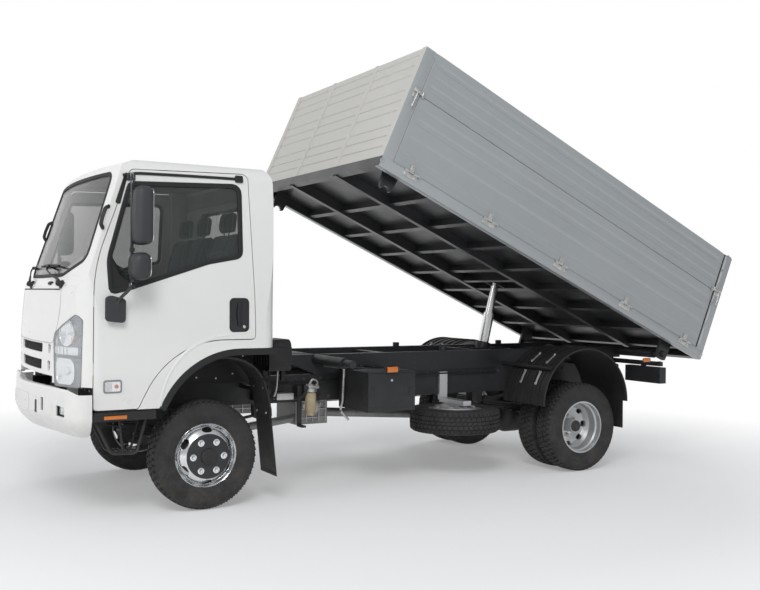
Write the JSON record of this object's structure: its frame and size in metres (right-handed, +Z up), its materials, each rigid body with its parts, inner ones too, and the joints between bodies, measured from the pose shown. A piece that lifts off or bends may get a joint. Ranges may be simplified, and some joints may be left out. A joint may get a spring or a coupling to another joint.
{
  "type": "light cab-over tipper truck",
  "caption": "Light cab-over 4x4 tipper truck with its ribbed drop-side bed raised on a telescopic ram, twin rear wheels and an open ladder frame.",
  "frame": {"origin": "on the ground, at the centre of the box that holds the whole truck as it stands with its bed raised", "axes": "+X forward along the truck, +Y to its left, +Z up"},
  "size_m": [6.2546, 2.516, 3.4483],
  "materials": {
    "cab_white": "gloss white paint",
    "bumper_white": "white painted bumper, satin gloss",
    "bed_grey": "light silver-grey paint on pressed boards",
    "bed_cream": "off-white paint",
    "frame_paint": "semi-gloss black chassis paint",
    "black_plastic": "grained black plastic",
    "trim_grey": "dark grey trim",
    "tyre_rubber": "matt black rubber",
    "rim_polished": "polished silver",
    "rim_silver": "silver-grey wheel paint",
    "axle_casting": "black painted casting",
    "engine_casting": "dark casting",
    "gearbox_casting": "bare aluminium casting",
    "steel_tube": "dull heat-stained steel",
    "lamp_red": "lamp lenses on black housings",
    "window_glass": "clear glass with a slight green tint",
    "lamp_glass": "clear lamp lens",
    "seat_fabric": "dark woven seat cloth",
    "ram_chrome": "polished piston tube"
  },
  "bodies": {
    "chassis": {"chassis_frame": "frame_paint", "tipper_subframe": "frame_paint", "front_axle": "axle_casting", "rear_axle": "axle_casting", "leaf_springs": "frame_paint", "engine": "engine_casting", "driveline": "gearbox_casting", "exhaust": "steel_tube", "fuel_tank": "frame_paint", "tool_box": "frame_paint", "air_cleaner": "black_plastic", "spare_tyre": "tyre_rubber", "spare_carrier": "rim_silver", "front_bumper": "bumper_white", "steps_and_flaps": "black_plastic", "rear_mudguards": "black_plastic", "rear_lamps": "lamp_red"},
    "steering_knuckle_left": {"knuckle_left": "axle_casting"},
    "steering_knuckle_right": {"knuckle_right": "axle_casting"},
    "track_rod": {"tie_rod": "frame_paint"},
    "front_wheel_left": {"front_tyre_left": "tyre_rubber", "front_rim_left": "rim_polished"},
    "front_wheel_right": {"front_tyre_right": "tyre_rubber", "front_rim_right": "rim_polished"},
    "rear_wheels_left": {"rear_tyres_left": "tyre_rubber", "rear_rims_left": "rim_silver"},
    "rear_wheels_right": {"rear_tyres_right": "tyre_rubber", "rear_rims_right": "rim_silver"},
    "cab": {"cab_shell": "cab_white", "cab_glass": "window_glass", "headlamps": "lamp_glass", "dashboard": "trim_grey", "steering_wheel": "black_plastic", "seats": "seat_fabric"},
    "left_door": {"door_left": "cab_white", "door_glass_left": "window_glass", "mirror_left": "black_plastic"},
    "right_door": {"door_right": "cab_white", "door_glass_right": "window_glass", "mirror_right": "black_plastic"},
    "bed": {"bed_floor": "bed_grey", "headboard": "bed_cream"},
    "left_lower_board": {"side_board_lower_left": "bed_grey"},
    "right_lower_board": {"side_board_lower_right": "bed_grey"},
    "left_upper_board": {"side_board_upper_left": "bed_grey"},
    "right_upper_board": {"side_board_upper_right": "bed_grey"},
    "lower_tailgate": {"tailgate_lower": "bed_grey"},
    "upper_tailgate": {"tailgate_upper": "bed_grey"},
    "cylinder": {"cylinder_barrel": "frame_paint"},
    "ram_one": {"ram_stage_one": "ram_chrome"},
    "ram_two": {"ram_stage_two": "ram_chrome"}
  },
  "joints": [
    {"name": "steer_left", "type": "hinge", "parent": "chassis", "child": "steering_knuckle_left", "pos_m": [2.03199, 0.68, 0.385], "axis": [0, 0, 1], "range_deg": [-35, 35]},
    {"name": "steer_right", "type": "hinge", "parent": "chassis", "child": "steering_knuckle_right", "pos_m": [2.03199, -0.68, 0.385], "axis": [0, 0, 1], "range_deg": [-35, 35]},
    {"name": "track_rod_shift", "type": "slide", "parent": "chassis", "child": "track_rod", "axis": [0, 1, 0], "range_m": [-0.096, 0.096]},
    {"name": "front_wheel_left_roll", "type": "hinge", "parent": "steering_knuckle_left", "child": "front_wheel_left", "pos_m": [2.03199, 0.8375, 0.385], "axis": [0, 1, 0], "continuous": true},
    {"name": "front_wheel_right_roll", "type": "hinge", "parent": "steering_knuckle_right", "child": "front_wheel_right", "pos_m": [2.03199, -0.8375, 0.385], "axis": [0, 1, 0], "continuous": true},
    {"name": "rear_wheels_left_roll", "type": "hinge", "parent": "chassis", "child": "rear_wheels_left", "pos_m": [-1.36301, 0.8225, 0.385], "axis": [0, 1, 0], "continuous": true},
    {"name": "rear_wheels_right_roll", "type": "hinge", "parent": "chassis", "child": "rear_wheels_right", "pos_m": [-1.36301, -0.8225, 0.385], "axis": [0, 1, 0], "continuous": true},
    {"name": "cab_tilt", "type": "hinge", "parent": "chassis", "child": "cab", "pos_m": [3.01199, 0, 0.7], "axis": [0, 1, 0], "range_deg": [0, 45]},
    {"name": "left_door_swing", "type": "hinge", "parent": "cab", "child": "left_door", "pos_m": [2.83699, 0.999, 1.3], "axis": [0, 0, -1], "range_deg": [0, 70]},
    {"name": "right_door_swing", "type": "hinge", "parent": "cab", "child": "right_door", "pos_m": [2.83699, -0.999, 1.3], "axis": [0, 0, 1], "range_deg": [0, 70]},
    {"name": "bed_tip", "type": "hinge", "parent": "chassis", "child": "bed", "pos_m": [-2.34601, 0, 1], "axis": [0, 1, 0], "range_deg": [-22, 24]},
    {"name": "cylinder_swing", "type": "hinge", "parent": "chassis", "child": "cylinder", "pos_m": [-1.02401, 0, 0.98], "axis": [0, 1, 0], "range_deg": [-11.5, 12.5]},
    {"name": "ram_one_extend", "type": "slide", "parent": "cylinder", "child": "ram_one", "axis": [-0.2368, 0, 0.9715], "range_m": [-0.268, 0.246]},
    {"name": "ram_two_extend", "type": "slide", "parent": "ram_one", "child": "ram_two", "axis": [-0.2368, 0, 0.9715], "range_m": [-0.268, 0.246]},
    {"name": "left_lower_board_drop", "type": "hinge", "parent": "bed", "child": "left_lower_board", "pos_m": [-0.97684, 1.166, 1.80444], "axis": [-0.9135, 0, -0.4067], "range_deg": [0, 180]},
    {"name": "right_lower_board_drop", "type": "hinge", "parent": "bed", "child": "right_lower_board", "pos_m": [-0.97684, -1.166, 1.80444], "axis": [0.9135, 0, 0.4067], "range_deg": [0, 180]},
    {"name": "left_upper_board_swing", "type": "hinge", "parent": "bed", "child": "left_upper_board", "pos_m": [-1.35591, 1.1405, 2.65587], "axis": [0.9135, 0, 0.4067], "range_deg": [0, 90]},
    {"name": "right_upper_board_swing", "type": "hinge", "parent": "bed", "child": "right_upper_board", "pos_m": [-1.35591, -1.1405, 2.65587], "axis": [-0.9135, 0, -0.4067], "range_deg": [0, 90]},
    {"name": "lower_tailgate_drop", "type": "hinge", "parent": "bed", "child": "lower_tailgate", "pos_m": [-2.75003, 0, 1.01497], "axis": [0, -1, 0], "range_deg": [0, 180]},
    {"name": "upper_tailgate_swing", "type": "hinge", "parent": "bed", "child": "upper_tailgate", "pos_m": [-3.10581, 0, 1.87676], "axis": [0, 1, 0], "range_deg": [0, 90]}
  ],
  "couplings": [
    {"joint": "steer_right", "follows": "steer_left", "ratio": 1},
    {"joint": "track_rod_shift", "follows": "steer_left", "m_per_rad": -0.155},
    {"joint": "cylinder_swing", "follows": "bed_tip", "ratio": 0.5},
    {"joint": "ram_one_extend", "follows": "bed_tip", "m_per_rad": -0.6349},
    {"joint": "ram_two_extend", "follows": "bed_tip", "m_per_rad": -0.6349}
  ]
}
